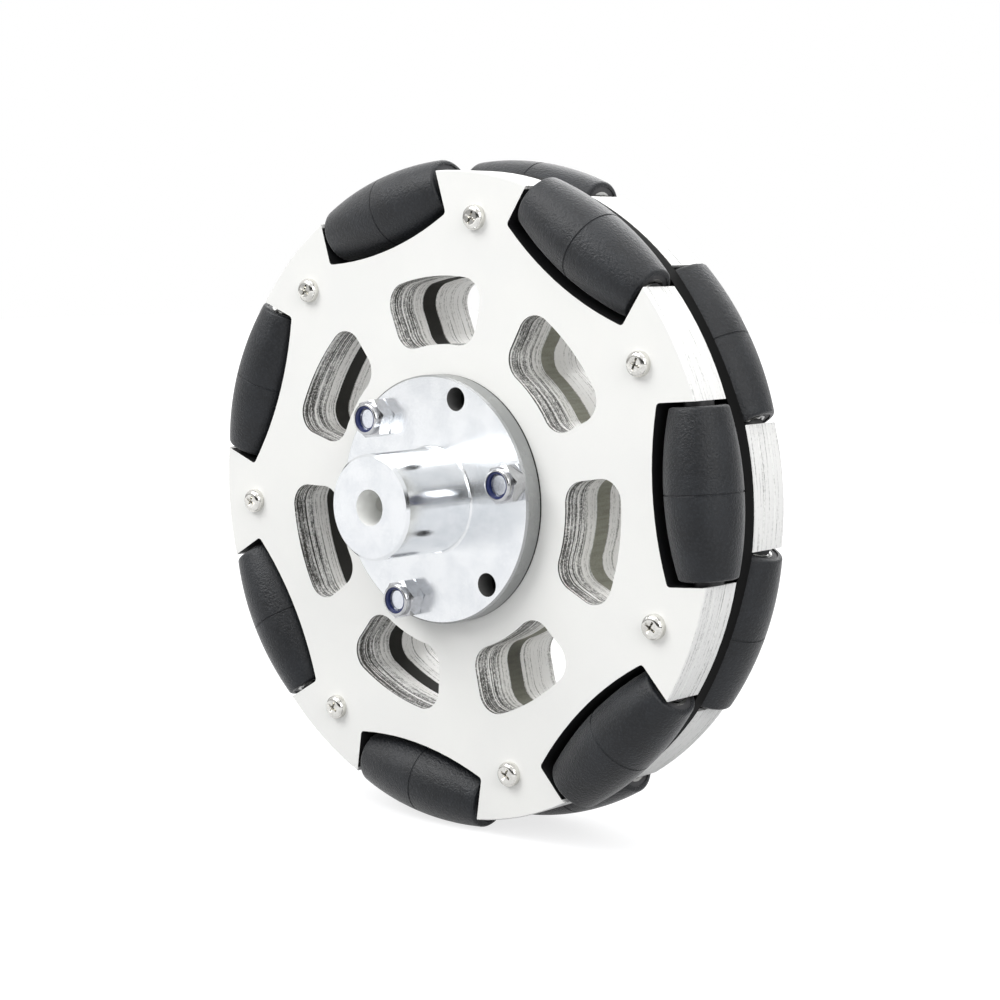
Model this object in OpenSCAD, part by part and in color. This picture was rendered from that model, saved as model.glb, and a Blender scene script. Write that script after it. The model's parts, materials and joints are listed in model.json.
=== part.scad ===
// Double-row omni wheel: two rows of barrel rollers, staggered by half a pitch, round a flange hub.
// The wheel stands upright. Its axle runs along Y, the hub's boss points to -Y, and Z is up.
// The origin is on the axle line, in the middle of the spacer between the two rows.

/* [Wheel] */
// Diameter over the rollers
wheel_d = 152; // [150:0.5:156]
// Angle of the front row's first roller above the X axis, seen from the hub side
wheel_turn = 4.8; // [0:0.1:51]
// Thickness of one row of plates
row_t = 11; // [10:0.1:13]
// Diameter of the plates and the spacer
rim_d = 146.6; // [145:0.2:148]
// Chamfer on the rim of each plate
rim_chamfer = 0.2; // [0.1:0.05:0.4]
// Thickness of the spacer between the rows
spacer_t = 4.4; // [4:0.1:7]

/* [Rollers] */
// Rollers in each row
roller_count = 7; // [7]
// Largest diameter of a roller
roller_d = 16.8; // [16:0.1:17.4]
// Length of a roller
roller_l = 36.2; // [34:0.1:36.6]
// Radius of the tread's end edges
tread_edge_r = 0.8; // [0.4:0.1:1.2]
// Radius of the moulding seam cut round the middle of a tread
seam_r = 0.22; // [0.1:0.02:0.4]
// How far the tread's lip stands past the core
tread_lip = 0.3; // [0.2:0.1:1]
// Outer diameter of the core inside the tread
core_d = 10.4; // [10:0.1:11]
// Bore of the core between its bearings
core_bore_d = 5; // [4.6:0.1:6]

/* [Axles and bearings] */
// Diameter of an axle pin
pin_d = 4; // [3:0.1:4.2]
// How far an axle pin reaches into the plates at each end
pin_seat = 2.3; // [1.6:0.1:3]
// Outer diameter of a bearing
bearing_d = 8; // [7.6:0.1:9]
// Width of a bearing
bearing_w = 3; // [2:0.1:4]
// Outer diameter of a thrust washer
washer_d = 6.4; // [6:0.1:7]
// Thickness of a thrust washer
washer_t = 1.1; // [0.8:0.1:1.6]
// Width of a bearing's rings beside its recessed shields
bearing_ring_w = 0.6; // [0.3:0.1:1]
// How far a bearing's shields lie below its faces
shield_depth = 0.2; // [0.1:0.05:0.4]

/* [Roller slots] */
// Gap between a roller and the slot's curved floor
slot_gap = 0.8; // [0.4:0.1:1.4]
// Radius in a slot's corners
slot_corner_r = 1; // [0.5:0.1:2]
// Gap between a roller and its pocket in the spacer
pocket_gap = 0.4; // [0.3:0.05:0.6]

/* [Windows] */
// Diameter of the circle on the windows' inner edges
window_in_d = 69.4; // [66:0.2:74]
// Diameter of the circle on the windows' outer edges
window_out_d = 100; // [94:0.2:104]
// Angle that a window spans
window_span = 35.2; // [28:0.1:40]
// Radius of a window's corners
window_corner_r = 5; // [3:0.1:6.5]

/* [Hub] */
// Bore for the shaft
bore_d = 8; // [6:0.1:10]
// Diameter of the flange
flange_d = 56; // [52:0.5:62]
// Thickness of the flange
flange_t = 4.7; // [3:0.1:6]
// Diameter of the boss
boss_d = 23.4; // [20:0.2:28]
// Length of the boss in front of the flange
boss_l = 20.1; // [14:0.1:30]
// Diameter of the spigot that centres the plates
spigot_d = 20; // [18:0.2:24]
// How far the spigot ends short of the back face
spigot_short = 1; // [0.5:0.1:3]
// Chamfer on the boss's end
boss_chamfer = 0.6; // [0.3:0.1:1.2]
// Chamfer on the flange's front edge
flange_chamfer = 0.4; // [0.2:0.1:1]
// Fillet between the boss and the flange
root_fillet = 0.6; // [0.3:0.1:1.5]
// Diameter of the set screw
set_screw_d = 4; // [3:0.5:5]
// Distance of the set screw from the boss's end
set_screw_from_end = 8; // [5:0.5:12]
// Gap between the set screw's tip and the bore
set_screw_tip_gap = 0.4; // [0.2:0.1:1]
// How far the set screw lies below the boss's surface
set_screw_sunk = 0.6; // [0.2:0.1:1.5]

/* [Hub bolts] */
// Holes round the flange
flange_holes = 6; // [6]
// Diameter of the circle through the hub's bolt holes
bolt_circle_d = 48; // [46:0.2:49]
// Angle from the first roller to the first hub bolt
bolt_turn = 8; // [0:0.1:60]
// Diameter of the hub bolts
bolt_d = 5; // [4:0.5:5]
// Diameter of the holes for the hub bolts
bolt_hole_d = 5.3; // [5.2:0.1:5.6]
// Length of a hub bolt under its head
bolt_l = 35; // [34:0.5:37]
// Diameter of a hub bolt's head
bolt_head_d = 8.5; // [8:0.1:9.5]
// Height of a hub bolt's head
bolt_head_h = 5; // [3:0.1:6]
// Width of a hub bolt's hexagon socket
bolt_socket_af = 4; // [3:0.5:5]
// Chamfer on a hub bolt's tip
bolt_tip_chamfer = 0.6; // [0.3:0.1:1]
// Width across flats of a lock nut
nut_af = 8; // [8:0.1:9]
// Height of a lock nut
nut_h = 5; // [4.6:0.1:6]
// Height of a lock nut's collar
collar_h = 1.3; // [1:0.1:1.8]
// Diameter of a lock nut's collar
collar_d = 7.3; // [7.2:0.1:7.8]
// Radius of the collar's edge
collar_edge_r = 0.5; // [0.2:0.1:0.6]
// Outer diameter of the insert in a lock nut
insert_d = 6; // [5.6:0.1:6.2]
// How far the insert lies below the top of its nut
insert_sunk = 0.3; // [0.1:0.05:0.5]

/* [Plate screws] */
// Diameter of the circle through the plate screws
screw_circle_d = 126.8; // [124:0.2:130]
// Diameter of a plate screw
screw_d = 3; // [2.5:0.5:4]
// Length of a plate screw under its head
screw_l = 10; // [9:0.5:10]
// Diameter of a plate screw's head
screw_head_d = 5.6; // [5:0.1:6.5]
// Height of a plate screw's head
screw_head_h = 2; // [1.6:0.1:2.6]
// Radius of the edge of a plate screw's head
screw_crown_r = 1.2; // [0.8:0.1:1.6]
// Width of a plate screw's cross recess
recess_w = 3; // [2:0.1:3.6]
// Width of one wing of the recess
recess_wing_w = 0.55; // [0.4:0.05:0.8]
// Depth of the recess
recess_depth = 1.3; // [0.8:0.1:1.6]
// Angle by which each front screw is turned from the one before it
front_screw_turn = 37; // [0:1:90]
// Angle by which each back screw is turned from the one before it
back_screw_turn = 53; // [0:1:90]

/* [Fits] */
// Radial running clearance of a bearing on its pin
running_gap = 0.03; // [0.02:0.01:0.08]
// Radial clearance between pieces that don't move on each other
seat_gap = 0.02; // [0.01:0.01:0.05]
// Radial clearance of a screw in a plain hole
screw_gap = 0.1; // [0.05:0.05:0.2]
// End play between a bearing and its thrust washer
end_play = 0.3; // [0.2:0.05:0.4]
// Clearance between an axle pin and the plates that trap it
pin_gap = 0.03; // [0.02:0.01:0.06]

/* [Hidden] */
$fn = 96;

pitch = 360 / roller_count;
wheel_r = wheel_d / 2;
rim_r = rim_d / 2;
axle_r = wheel_r - roller_d / 2;

// Each row is three plates: the middle one is as thick as the axle pins that it traps.
mid_t = pin_d + 2 * pin_gap;
side_t = (row_t - mid_t) / 2;

// Places along the axle, from the hub side to the back
front_y = -(spacer_t / 2 + row_t);
front_row_y = front_y + row_t / 2;
back_row_y = -front_row_y;
back_y = -front_y;
flange_y = front_y - flange_t;
boss_y = flange_y - boss_l;

bearing_bore_d = pin_d + 2 * running_gap;
core_l = roller_l - 2 * tread_lip;

// A slot is as long as the core, its two washers and their end play, and the pin runs on into the plates.
slot_l = core_l + 2 * (washer_t + end_play);
pin_l = slot_l + 2 * pin_seat;

bolt_from = wheel_turn + bolt_turn;
hole_step = 360 / flange_holes;
bolt_count = flange_holes / 2;

EDGE = 0.01; // how far a cut runs past the face it opens
LAP = 0.5; // how far a straight edge runs on into a rounded corner
PAST = 1; // how far a cut runs past what it opens

// ---- Placing -------------------------------------------------------------------------------

// Angle of roller i, counted from 1. The back row is turned by half a pitch.
function roller_angle(row, i) = wheel_turn + (i - 1) * pitch + (row == "back" ? pitch / 2 : 0);

// The angle that an arc of a given length spans at a radius
function arc_angle(length, r) = length / r * 180 / PI;

// Stands a flat outline up square to the axle, from y to y + thickness.
module slab(y, thickness)
    translate([0, y + thickness, 0]) rotate([90, 0, 0]) linear_extrude(thickness) children();

// Turns a shape made round +Z so that its +Z points along -Y, with its base at y.
module facing_front(y) translate([0, y, 0]) rotate([90, 0, 0]) children();

// Turns a shape made round +Z so that its +Z points along +Y, with its base at y.
module facing_back(y) translate([0, y, 0]) rotate([-90, 0, 0]) children();

// Moves a shape out to a radius and an angle in the wheel's plane, seen from the hub side.
module at_polar(r, angle) rotate([0, -angle, 0]) translate([r, 0, 0]) children();

// Puts a shape made round +Z on the axle line of one roller, with +Z along the roller.
module on_axle(row, i)
    translate([0, row == "front" ? front_row_y : back_row_y, 0]) at_polar(axle_r, roller_angle(row, i)) children();

// ---- Flat outlines -------------------------------------------------------------------------

// A wedge that spans half_angle on each side of the X axis.
module wedge(half_angle, reach)
    polygon([[0, 0], [reach, -reach * tan(half_angle)], [reach, reach * tan(half_angle)]]);

module ring(r_in, r_out) difference() {
    circle(r_out, $fn = 360);
    circle(r_in, $fn = 360);
}

// A window: part of a ring with its four corners rounded. The straight and ring parts run on past the
// corner circles' tangent points by LAP, so that every edge crosses the next one cleanly.
module window_outline() {
    r_in = window_in_d / 2;
    r_out = window_out_d / 2;
    rc = window_corner_r;
    half = window_span / 2;
    in_centre = r_in + rc;
    out_centre = r_out - rc;
    in_angle = half - asin(rc / in_centre);
    out_angle = half - asin(rc / out_centre);
    mid_r = (in_centre + out_centre) / 2;
    side_in = sqrt(in_centre * in_centre - rc * rc) - LAP;
    side_out = sqrt(out_centre * out_centre - rc * rc) + LAP;
    for (side = [-1, 1]) {
        rotate(side * in_angle) translate([in_centre, 0]) circle(rc);
        rotate(side * out_angle) translate([out_centre, 0]) circle(rc);
    }
    intersection() {
        ring(r_in, mid_r);
        wedge(in_angle + arc_angle(LAP, r_in), r_out);
    }
    intersection() {
        ring(mid_r - 1, r_out);
        wedge(out_angle + arc_angle(LAP, r_out), r_out * 1.2);
    }
    polygon([
        side_in * [cos(half), sin(half)], side_out * [cos(half), sin(half)],
        out_centre * [cos(out_angle), sin(out_angle)], out_centre * [cos(out_angle), -sin(out_angle)],
        side_out * [cos(half), -sin(half)], side_in * [cos(half), -sin(half)],
        in_centre * [cos(in_angle), -sin(in_angle)], in_centre * [cos(in_angle), sin(in_angle)]]);
}

// A roller's slot: straight ends and a floor that follows the barrel. It opens past the rim.
module slot_outline() {
    floor_r = wheel_r + slot_gap;
    floor_x = 2 * axle_r;
    rc = slot_corner_r;
    half = slot_l / 2;
    corner_x = floor_x - sqrt(pow(floor_r - rc, 2) - pow(half - rc, 2));
    for (side = [-1, 1]) translate([corner_x, side * (half - rc)]) circle(rc);
    intersection() {
        translate([floor_x, 0]) circle(floor_r, $fn = 360);
        translate([0, rc - half]) square([wheel_r + PAST, slot_l - 2 * rc]);
    }
    translate([corner_x, -half]) square([wheel_r + PAST - corner_x, slot_l]);
}

// What every plate shares: the disc, its windows, the hub's hole and the hub bolts' holes.
module disc_outline() difference() {
    circle(rim_r, $fn = 360);
    circle(spigot_d / 2 + seat_gap);
    for (i = [1:roller_count]) rotate(roller_angle("front", i) - pitch / 4) window_outline();
    for (i = [0:flange_holes - 1])
        rotate(bolt_from + i * hole_step) translate([bolt_circle_d / 2, 0]) circle(bolt_hole_d / 2);
}

module row_outline(row, screw_hole_d) difference() {
    disc_outline();
    for (i = [1:roller_count]) {
        rotate(roller_angle(row, i)) slot_outline();
        rotate(roller_angle(row, i) + pitch / 2) translate([screw_circle_d / 2, 0]) circle(screw_hole_d / 2);
    }
}

// The middle plate's slots have a notch at each end that seats the axle pin.
module middle_outline(row) difference() {
    row_outline(row, screw_d + 2 * screw_gap);
    for (i = [1:roller_count])
        rotate(roller_angle(row, i)) translate([axle_r, 0])
            square([pin_d + 2 * seat_gap, pin_l + 2 * seat_gap], center = true);
}

// ---- Plates --------------------------------------------------------------------------------

// A disc with both rim edges chamfered, from y to y + thickness
module chamfered_disc(y, thickness) facing_back(y) rotate_extrude($fn = 360) polygon([
    [0, 0], [rim_r - rim_chamfer, 0], [rim_r, rim_chamfer],
    [rim_r, thickness - rim_chamfer], [rim_r - rim_chamfer, thickness], [0, thickness]]);

module plate(y, thickness) color("gainsboro") intersection() {
    slab(y, thickness) children();
    chamfered_disc(y, thickness);
}

// The plate that a row's screws enter, and the plate that they're tapped into
module entry_plate(row, y) plate(y, side_t) row_outline(row, screw_d + 2 * screw_gap);
module tapped_plate(row, y) plate(y, side_t) row_outline(row, screw_d + 2 * seat_gap);

module front_outer_plate() entry_plate("front", front_y);
module front_middle_plate() plate(front_y + side_t, mid_t) middle_outline("front");
module front_inner_plate() tapped_plate("front", front_y + side_t + mid_t);
module back_inner_plate() tapped_plate("back", spacer_t / 2);
module back_middle_plate() plate(spacer_t / 2 + side_t, mid_t) middle_outline("back");
module back_outer_plate() entry_plate("back", back_y - side_t);

// The spacer is as wide as the plates, so it is hollowed on each face where the rollers bulge past their row.
module spacer_plate() color([0.16, 0.16, 0.15]) difference() {
    intersection() {
        slab(-spacer_t / 2, spacer_t) disc_outline();
        chamfered_disc(-spacer_t / 2, spacer_t);
    }
    for (row = ["front", "back"], i = [1:roller_count]) on_axle(row, i) barrel(slot_l, pocket_gap);
}

// ---- Hub -----------------------------------------------------------------------------------

module hub() color([0.86, 0.88, 0.9]) difference() {
    facing_back(0) rotate_extrude($fn = 180) difference() {
        hub_profile();
        translate([0, boss_y - EDGE]) square([bore_d / 2, back_y - boss_y + EDGE]);
    }
    for (i = [0:flange_holes - 1])
        at_polar(bolt_circle_d / 2, bolt_from + i * hole_step)
            facing_front(front_y + EDGE) cylinder(d = bolt_hole_d, h = flange_t + 2 * EDGE);
    translate([0, boss_y + set_screw_from_end, 0])
        rotate([0, -90, 0]) cylinder(d = set_screw_d + 2 * seat_gap, h = boss_d);
}

// Half of the hub's section: radius across, place along the axle up
module hub_profile() {
    boss_r = boss_d / 2;
    flange_r = flange_d / 2;
    polygon([
        [0, boss_y], [boss_r - boss_chamfer, boss_y], [boss_r, boss_y + boss_chamfer],
        [boss_r, flange_y], [flange_r - flange_chamfer, flange_y], [flange_r, flange_y + flange_chamfer],
        [flange_r, front_y], [spigot_d / 2, front_y], [spigot_d / 2, back_y - spigot_short],
        [0, back_y - spigot_short]]);
    translate([boss_r - EDGE, flange_y - root_fillet]) difference() {
        square([root_fillet + EDGE, root_fillet + EDGE]);
        translate([root_fillet + EDGE, 0]) circle(root_fillet);
    }
}

module hub_set_screw() color("dimgray") {
    tip_r = bore_d / 2 + set_screw_tip_gap;
    screw_len = boss_d / 2 - tip_r - set_screw_sunk;
    translate([-tip_r, boss_y + set_screw_from_end, 0]) rotate([0, -90, 0]) difference() {
        cylinder(d = set_screw_d, h = screw_len);
        translate([0, 0, screw_len / 2]) cylinder(d = set_screw_d / 2, h = screw_len, $fn = 6);
    }
}

// ---- Fasteners -----------------------------------------------------------------------------

// Every second hole in the flange has a bolt.
module at_bolts() for (i = [0:bolt_count - 1]) at_polar(bolt_circle_d / 2, bolt_from + 2 * i * hole_step) children();

module hub_bolts() color("silver") at_bolts() {
    tip = bolt_tip_chamfer;
    facing_front(back_y) rotate_extrude() polygon([
        [0, 0], [bolt_d / 2, 0], [bolt_d / 2, bolt_l - tip], [bolt_d / 2 - tip, bolt_l], [0, bolt_l]]);
    facing_back(back_y) difference() {
        cylinder(d = bolt_head_d, h = bolt_head_h);
        translate([0, 0, bolt_head_h / 2]) cylinder(d = bolt_socket_af / cos(30), h = bolt_head_h, $fn = 6);
    }
}

module hub_lock_nuts() color("silver") at_bolts() facing_front(flange_y) difference() {
    hex_h = nut_h - collar_h;
    union() {
        intersection() {
            cylinder(d = nut_af / cos(30), h = hex_h, $fn = 6);
            nut_chamfers(hex_h);
        }
        rotate_extrude() {
            square([collar_d / 2, nut_h - collar_edge_r]);
            square([collar_d / 2 - collar_edge_r, nut_h]);
            translate([collar_d / 2 - collar_edge_r, nut_h - collar_edge_r]) circle(collar_edge_r);
        }
    }
    translate([0, 0, -EDGE]) cylinder(d = bolt_d + 2 * seat_gap, h = nut_h + 2 * EDGE);
    translate([0, 0, hex_h]) cylinder(d = insert_d + 2 * seat_gap, h = nut_h);
}

// A disc that takes the corners off a hexagon at both ends
module nut_chamfers(h) {
    corner_r = nut_af / 2 / cos(30);
    flat_r = nut_af / 2;
    drop = (corner_r - flat_r) * tan(30);
    rotate_extrude() polygon([[0, 0], [flat_r, 0], [corner_r, drop], [corner_r, h - drop], [flat_r, h], [0, h]]);
}

module lock_nut_inserts() color([0.13, 0.16, 0.42]) at_bolts()
    facing_front(flange_y - (nut_h - collar_h) - seat_gap) difference() {
        cylinder(d = insert_d, h = collar_h - insert_sunk);
        translate([0, 0, -EDGE]) cylinder(d = bolt_d + 2 * seat_gap, h = collar_h);
    }

// A pan-head screw with its head's seat at z = 0 and its head above
module pan_screw() {
    head_r = screw_head_d / 2;
    crown_r = screw_crown_r;
    difference() {
        rotate_extrude() {
            intersection() {
                union() {
                    square([head_r, screw_head_h - crown_r]);
                    square([head_r - crown_r, screw_head_h]);
                    translate([head_r - crown_r, screw_head_h - crown_r]) circle(crown_r);
                }
                square([head_r, screw_head_h]);
            }
            translate([0, -screw_l]) square([screw_d / 2, screw_l]);
        }
        cross_recess();
    }
}

// A cross recess that narrows as it goes down
module cross_recess() {
    floor_z = screw_head_h - recess_depth;
    cut_h = recess_depth + EDGE;
    intersection() {
        union() for (turn = [0, 90])
            rotate(turn) translate([-recess_w / 2, -recess_wing_w / 2, floor_z])
                cube([recess_w, recess_wing_w, cut_h]);
        translate([0, 0, floor_z]) cylinder(d1 = recess_w / 3, d2 = recess_w, h = cut_h);
    }
}

// Each screw is left at its own angle, as a hand would leave it.
module front_plate_screws() color("lightgray") for (i = [1:roller_count])
    at_polar(screw_circle_d / 2, roller_angle("front", i) + pitch / 2)
        facing_front(front_y) rotate(i * front_screw_turn) pan_screw();
module back_plate_screws() color("lightgray") for (i = [1:roller_count])
    at_polar(screw_circle_d / 2, roller_angle("back", i) + pitch / 2)
        facing_back(back_y) rotate(i * back_screw_turn) pan_screw();

// ---- Rollers -------------------------------------------------------------------------------

// Half of a barrel's section: its outside is an arc of the wheel's own outer circle.
module barrel_profile(length, gap) intersection() {
    translate([-axle_r, 0]) circle(wheel_r + gap, $fn = 720);
    translate([0, -length / 2]) square([roller_d, length]);
}

module barrel(length, gap) rotate_extrude() barrel_profile(length, gap);

// The tread's section: the barrel with both end edges rounded, the core's bore and the seam
module tread_profile() {
    re = tread_edge_r;
    end_z = roller_l / 2 - re;
    end_x = sqrt(pow(wheel_r - re, 2) - pow(end_z, 2)) - axle_r;
    core_r = core_d / 2 + seat_gap;
    difference() {
        union() {
            barrel_profile(roller_l - 2 * re, 0);
            translate([0, -roller_l / 2]) square([end_x, roller_l]);
            for (side = [-1, 1]) translate([end_x, side * end_z]) circle(re);
        }
        translate([-EDGE, -roller_l]) square([core_r + EDGE, 2 * roller_l]);
        translate([roller_d / 2, 0]) circle(seam_r);
    }
}

module tread(row, i) color([0.2, 0.2, 0.21]) on_axle(row, i) rotate_extrude() tread_profile();

module core(row, i) color([0.45, 0.45, 0.46]) on_axle(row, i) difference() {
    cylinder(d = core_d, h = core_l, center = true);
    cylinder(d = core_bore_d, h = core_l + PAST, center = true);
    for (side = [-1, 1]) translate([0, 0, side * core_l / 2])
        cylinder(d = bearing_d + 2 * seat_gap, h = 2 * bearing_w, center = true);
}

// A sealed ball bearing: its shields lie a little below both faces.
module bearings(row, i) color("silver") on_axle(row, i) for (side = [-1, 1])
    translate([0, 0, side * (core_l - bearing_w) / 2]) difference() {
        cylinder(d = bearing_d, h = bearing_w, center = true);
        cylinder(d = bearing_bore_d, h = bearing_w + PAST, center = true);
        for (face = [-1, 1]) translate([0, 0, face * bearing_w / 2]) difference() {
            cylinder(d = bearing_d - 2 * bearing_ring_w, h = 2 * shield_depth, center = true);
            cylinder(d = bearing_bore_d + 2 * bearing_ring_w, h = PAST, center = true);
        }
    }

module axle_pins(row) color("silver") for (i = [1:roller_count])
    on_axle(row, i) cylinder(d = pin_d, h = pin_l, center = true);

// A washer lies against each end of a slot and leaves the bearing its end play.
module thrust_washers() color([0.12, 0.12, 0.12]) for (row = ["front", "back"], i = [1:roller_count], side = [-1, 1])
    on_axle(row, i) translate([0, 0, side * (slot_l - washer_t) / 2]) difference() {
        cylinder(d = washer_d, h = washer_t, center = true);
        cylinder(d = pin_d + 2 * screw_gap, h = washer_t + PAST, center = true);
    }

// ---- Nodes ---------------------------------------------------------------------------------

hub();
hub_set_screw();
hub_bolts();
hub_lock_nuts();
lock_nut_inserts();
front_outer_plate();
front_middle_plate();
front_inner_plate();
spacer_plate();
back_inner_plate();
back_middle_plate();
back_outer_plate();
front_plate_screws();
back_plate_screws();
axle_pins("front");  // front_axle_pins
axle_pins("back");  // back_axle_pins
thrust_washers();
for (row = ["front", "back"], i = [1:roller_count]) {
    tread(row, i);
    core(row, i);
    bearings(row, i);
}
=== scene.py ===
"""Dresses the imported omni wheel: rubber treads, satin plates, a turned hub, plated fasteners and a studio."""

import json
import logging
import math
from dataclasses import dataclass
from enum import Enum

import bpy
from mathutils import Matrix, Vector


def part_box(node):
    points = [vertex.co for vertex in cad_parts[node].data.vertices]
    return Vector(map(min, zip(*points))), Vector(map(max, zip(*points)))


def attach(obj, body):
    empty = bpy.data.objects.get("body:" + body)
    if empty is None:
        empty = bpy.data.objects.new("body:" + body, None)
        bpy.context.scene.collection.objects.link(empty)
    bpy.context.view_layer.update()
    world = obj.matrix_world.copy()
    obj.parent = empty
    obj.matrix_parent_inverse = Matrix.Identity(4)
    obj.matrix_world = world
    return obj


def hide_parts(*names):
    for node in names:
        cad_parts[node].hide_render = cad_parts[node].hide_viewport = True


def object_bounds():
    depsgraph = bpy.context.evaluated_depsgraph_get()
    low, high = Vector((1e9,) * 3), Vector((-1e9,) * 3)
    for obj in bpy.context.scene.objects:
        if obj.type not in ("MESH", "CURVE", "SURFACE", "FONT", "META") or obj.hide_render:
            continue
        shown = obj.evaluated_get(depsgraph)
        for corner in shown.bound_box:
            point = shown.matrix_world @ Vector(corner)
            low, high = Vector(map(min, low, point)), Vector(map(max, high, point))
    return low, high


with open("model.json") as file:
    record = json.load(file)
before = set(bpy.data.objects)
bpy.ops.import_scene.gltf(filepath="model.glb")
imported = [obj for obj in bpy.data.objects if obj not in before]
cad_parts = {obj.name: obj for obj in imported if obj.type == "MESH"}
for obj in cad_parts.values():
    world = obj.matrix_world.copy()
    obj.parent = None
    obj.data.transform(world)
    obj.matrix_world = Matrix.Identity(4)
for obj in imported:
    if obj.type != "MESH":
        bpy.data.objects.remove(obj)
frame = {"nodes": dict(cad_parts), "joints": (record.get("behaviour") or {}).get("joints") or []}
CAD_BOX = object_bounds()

LOG = logging.getLogger("omni_wheel")
MM = 0.001
WELD = MM / 500
Colour = tuple[float, float, float]
Place = tuple[float, float, float]


# ---- Shader maths ----------------------------------------------------------------------------


@dataclass(frozen=True)
class Grain:
    """A noise: its cells for each millimetre, its octaves, and the strength of the finer octaves."""

    scale: float
    detail: float = 2.0
    rough: float = 0.5


class Sock:
    """An output socket of a material's nodes, whose arithmetic adds Math nodes."""

    def __init__(self, shader: "Shader", socket: bpy.types.NodeSocket) -> None:
        """Wraps a socket of the shader's nodes.

        Args:
            shader: the shader that the socket belongs to.
            socket: the output to wrap.
        """
        self.shader = shader
        self.socket = socket

    def maths(self, operation: str, *values: "Sock | float", clamp: bool = False) -> "Sock":
        """Adds one Math node.

        Args:
            operation: the Math node's operation.
            values: the node's inputs in order.
            clamp: whether the result is held between 0 and 1.

        Returns:
            The node's result.
        """
        settings = {"operation": operation, "use_clamp": clamp}
        return self.shader.node("ShaderNodeMath", settings, dict(enumerate(values)))

    def __add__(self, other: "Sock | float") -> "Sock":
        """This value plus another."""
        return self.maths("ADD", self, other)

    def __radd__(self, other: float) -> "Sock":
        """A number plus this value."""
        return self.maths("ADD", other, self)

    def __sub__(self, other: "Sock | float") -> "Sock":
        """This value less another."""
        return self.maths("SUBTRACT", self, other)

    def __rsub__(self, other: float) -> "Sock":
        """A number less this value."""
        return self.maths("SUBTRACT", other, self)

    def __mul__(self, other: "Sock | float") -> "Sock":
        """This value times another."""
        return self.maths("MULTIPLY", self, other)

    def __rmul__(self, other: float) -> "Sock":
        """A number times this value."""
        return self.maths("MULTIPLY", other, self)

    def __truediv__(self, other: "Sock | float") -> "Sock":
        """This value divided by another."""
        return self.maths("DIVIDE", self, other)

    def __abs__(self) -> "Sock":
        """This value without its sign."""
        return self.maths("ABSOLUTE", self)

    def above(self, limit: "Sock | float") -> "Sock":
        """1 where this value is over the limit, else 0."""
        return self.maths("GREATER_THAN", self, limit)

    def below(self, limit: "Sock | float") -> "Sock":
        """1 where this value is under the limit, else 0."""
        return self.maths("LESS_THAN", self, limit)

    def held(self) -> "Sock":
        """This value held between 0 and 1."""
        return self.maths("ADD", self, 0.0, clamp=True)

    def swing(self, gain: float) -> "Sock":
        """Noise from 0 to 1 as a swing about nought, half the gain each way."""
        return (self - 0.5) * gain

    def blend(self, other: "Sock", share: float) -> "Sock":
        """This value mixed with a share of another."""
        return self * (1.0 - share) + other * share

    def larger(self, other: "Sock | float") -> "Sock":
        """The larger of this value and another."""
        return self.maths("MAXIMUM", self, other)

    def ramp(self, low: float, high: float, first: float = 0.0, last: float = 1.0) -> "Sock":
        """Runs smoothly from first to last as this value goes from low to high.

        Args:
            low: the value that gives first.
            high: the value that gives last.
            first: the result at and below low.
            last: the result at and above high.

        Returns:
            The eased value.
        """
        settings = {"interpolation_type": "SMOOTHSTEP"}
        inputs = {0: self, 1: low, 2: high, 3: first, 4: last}
        return self.shader.node("ShaderNodeMapRange", settings, inputs)


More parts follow.
